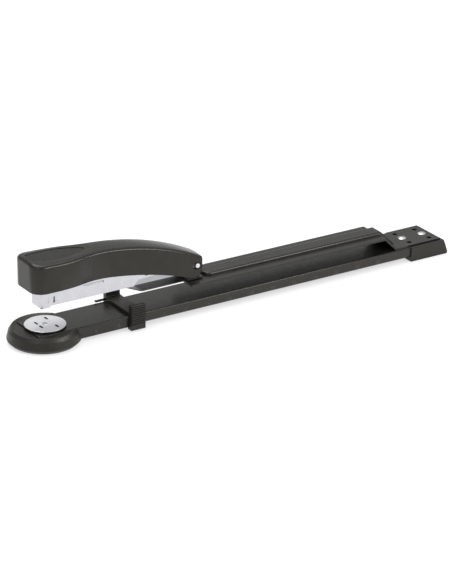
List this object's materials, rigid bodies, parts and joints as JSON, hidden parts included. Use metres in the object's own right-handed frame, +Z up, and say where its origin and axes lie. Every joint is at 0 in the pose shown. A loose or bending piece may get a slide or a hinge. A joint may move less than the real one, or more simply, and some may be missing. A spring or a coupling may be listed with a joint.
{
  "type": "stapler",
  "caption": "Long-reach stapler: ribbed arm over a rail base, hinged handle and magazine, turning clinch anvil and sliding paper stop.",
  "frame": {"origin": "on the table under the middle of the stapler's outline", "axes": "+X along the rail from the stapling nose to the rear foot, +Y to the side away from the engraved scale, +Z up"},
  "size_m": [0.3902, 0.0568, 0.0694],
  "materials": {
    "black_paint": "satin black stove enamel on pressed steel",
    "black_plastic": "fine satin moulded plastic",
    "soft_black": "soft-touch matt inlay",
    "rubber": "matt rubber",
    "zinc_steel": "bright zinc plate",
    "dark_steel": "oiled dark steel pressing",
    "bright_steel": "polished, nickel plated",
    "spring_steel": "tempered spring steel",
    "nickel": "satin nickel plate",
    "staple_wire": "galvanised wire strip"
  },
  "bodies": {
    "base": {"base_rail": "black_paint", "front_foot": "black_plastic", "front_pad": "rubber", "rear_foot": "black_plastic", "rear_pad": "rubber", "foot_screws": "zinc_steel", "arm": "black_paint", "rear_rivets": "bright_steel", "hinge_bracket": "black_paint", "bracket_rivets": "zinc_steel", "lift_spring": "spring_steel", "hinge_pin": "bright_steel"},
    "magazine": {"magazine_cover": "nickel", "staple_channel": "zinc_steel", "core_rail": "zinc_steel", "staple_strip": "staple_wire", "pusher_rod": "zinc_steel", "pusher_spring": "spring_steel"},
    "pusher": {"pusher": "black_plastic"},
    "handle": {"handle_cover": "black_plastic", "thumb_pad": "soft_black", "handle_frame": "dark_steel", "driver_blade": "zinc_steel", "driver_rivets": "zinc_steel", "frame_screws": "zinc_steel", "handle_spring": "spring_steel"},
    "anvil": {"anvil_disc": "nickel", "anvil_pivot": "bright_steel", "anvil_clip": "zinc_steel", "anvil_spring": "spring_steel"},
    "paper_stop": {"paper_stop": "black_plastic"}
  },
  "joints": [
    {"name": "magazine_swing", "type": "hinge", "parent": "base", "child": "magazine", "pos_m": [-0.0378, 0, 0.037], "axis": [0, -1, 0], "range_deg": [0, 6.3], "stiffness_Nm_per_rad": 3, "springref_deg": -6.88, "deforming": ["lift_spring"]},
    {"name": "handle_swing", "type": "hinge", "parent": "magazine", "child": "handle", "pos_m": [-0.0378, 0, 0.037], "axis": [0, -1, 0], "range_deg": [-75, 3.7], "stiffness_Nm_per_rad": 0.6, "springref_deg": -5.73, "deforming": ["handle_spring"]},
    {"name": "pusher_slide", "type": "slide", "parent": "magazine", "child": "pusher", "axis": [1, 0, 0], "range_m": [0, 0.04], "stiffness_N_per_m": 60, "springref_m": -0.05, "deforming": ["pusher_spring"]},
    {"name": "anvil_turn", "type": "hinge", "parent": "base", "child": "anvil", "pos_m": [-0.1657, 0, 0.0139], "axis": [0, 0, 1], "continuous": true},
    {"name": "paper_stop_slide", "type": "slide", "parent": "base", "child": "paper_stop", "axis": [1, 0, 0], "range_m": [-0.032, 0.228]}
  ]
}
